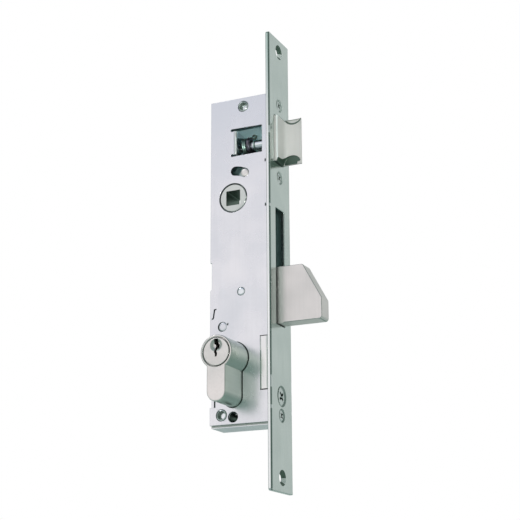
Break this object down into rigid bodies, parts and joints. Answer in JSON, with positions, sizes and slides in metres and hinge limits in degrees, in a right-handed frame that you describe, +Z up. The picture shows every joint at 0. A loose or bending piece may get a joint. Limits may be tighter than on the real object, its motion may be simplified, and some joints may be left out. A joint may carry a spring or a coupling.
{
  "type": "mortise lock",
  "caption": "Narrow mortise lock with forend, flat case, sprung bevelled latch, square spindle follower, upward swinging bolt and euro profile cylinder.",
  "frame": {"origin": "front face of the forend at the height of the spindle, in the middle of the case's thickness", "axes": "+X out of the forend's front face, the way the bolt is thrown; +Y through the case's thickness, away from the cover; +Z up along the forend"},
  "size_m": [0.06, 0.054, 0.24],
  "materials": {
    "zinc_plate": "pale zinc-plated sheet steel, soft satin",
    "satin_forend": "grey-green satin plated steel, fine lengthwise brushing",
    "satin_nickel": "warm satin nickel",
    "nickel_cylinder": "satin nickel-plated brass, fine turned and drawn marks",
    "bright_steel": "bright zinc-plated steel",
    "dark_steel": "oiled dark steel",
    "spring_steel": "drawn spring wire",
    "brass_pins": "plain brass"
  },
  "bodies": {
    "case": {"forend": "satin_forend", "case_tray": "zinc_plate", "case_cover": "zinc_plate", "top_post": "bright_steel", "bottom_post": "bright_steel", "bolt_pivot_pin": "bright_steel", "bolt_pivot_washer": "bright_steel", "bolt_pivot_spacer": "bright_steel", "detent_post": "bright_steel", "detent_spring": "spring_steel", "driver_guide_stud_1": "bright_steel", "driver_guide_stud_2": "bright_steel", "forend_screw_top": "bright_steel", "forend_screw_middle": "bright_steel", "forend_screw_bottom": "bright_steel", "cylinder_fixing_screw": "bright_steel", "cylinder_body": "nickel_cylinder", "outer_driver_pin_1": "bright_steel", "outer_driver_pin_2": "bright_steel", "outer_driver_pin_3": "bright_steel", "outer_driver_pin_4": "bright_steel", "outer_driver_pin_5": "bright_steel", "inner_driver_pin_1": "bright_steel", "inner_driver_pin_2": "bright_steel", "inner_driver_pin_3": "bright_steel", "inner_driver_pin_4": "bright_steel", "inner_driver_pin_5": "bright_steel"},
    "latch": {"latch_head": "satin_nickel", "latch_rod": "bright_steel", "latch_rod_collar": "dark_steel", "latch_rod_clip": "spring_steel", "latch_spring": "spring_steel"},
    "follower": {"follower": "satin_nickel", "follower_stop_pin": "satin_nickel"},
    "bolt": {"swing_bolt": "satin_nickel", "bolt_drive_pin": "bright_steel"},
    "driver": {"driver_plate": "dark_steel"},
    "core": {"outer_plug": "nickel_cylinder", "cam": "bright_steel", "outer_key_pin_1": "brass_pins", "outer_key_pin_2": "brass_pins", "outer_key_pin_3": "brass_pins", "outer_key_pin_4": "brass_pins", "outer_key_pin_5": "brass_pins"},
    "inner_core": {"inner_plug": "nickel_cylinder", "inner_key_pin_1": "brass_pins", "inner_key_pin_2": "brass_pins", "inner_key_pin_3": "brass_pins", "inner_key_pin_4": "brass_pins", "inner_key_pin_5": "brass_pins"}
  },
  "joints": [
    {"name": "follower_turn", "type": "hinge", "parent": "case", "child": "follower", "pos_m": [-0.023, 0, 0], "axis": [0, -1, 0], "range_deg": [0, 20]},
    {"name": "latch_slide", "type": "slide", "parent": "case", "child": "latch", "axis": [-1, 0, 0], "range_m": [0, 0.0107], "stiffness_N_per_m": 500, "springref_m": -0.006, "deforming": ["latch_spring"]},
    {"name": "bolt_swing", "type": "hinge", "parent": "case", "child": "bolt", "pos_m": [-0.0185, 0, -0.0506], "axis": [0, -1, 0], "range_deg": [0, 90]},
    {"name": "driver_slide", "type": "slide", "parent": "case", "child": "driver", "axis": [1, 0, 0], "range_m": [0, 0.0099]},
    {"name": "core_turn", "type": "hinge", "parent": "case", "child": "core", "pos_m": [-0.023, 0, -0.085], "axis": [0, 1, 0], "range_deg": [0, 55.7]},
    {"name": "inner_plug_turn", "type": "hinge", "parent": "case", "child": "inner_core", "pos_m": [-0.023, 0, -0.085], "axis": [0, -1, 0], "range_deg": [0, 360]}
  ],
  "couplings": [
    {"joint": "follower_turn", "follows": "latch_slide", "rad_per_m": 32.6},
    {"joint": "driver_slide", "follows": "bolt_swing", "m_per_rad": 0.0063},
    {"joint": "core_turn", "follows": "bolt_swing", "ratio": 0.6188}
  ]
}
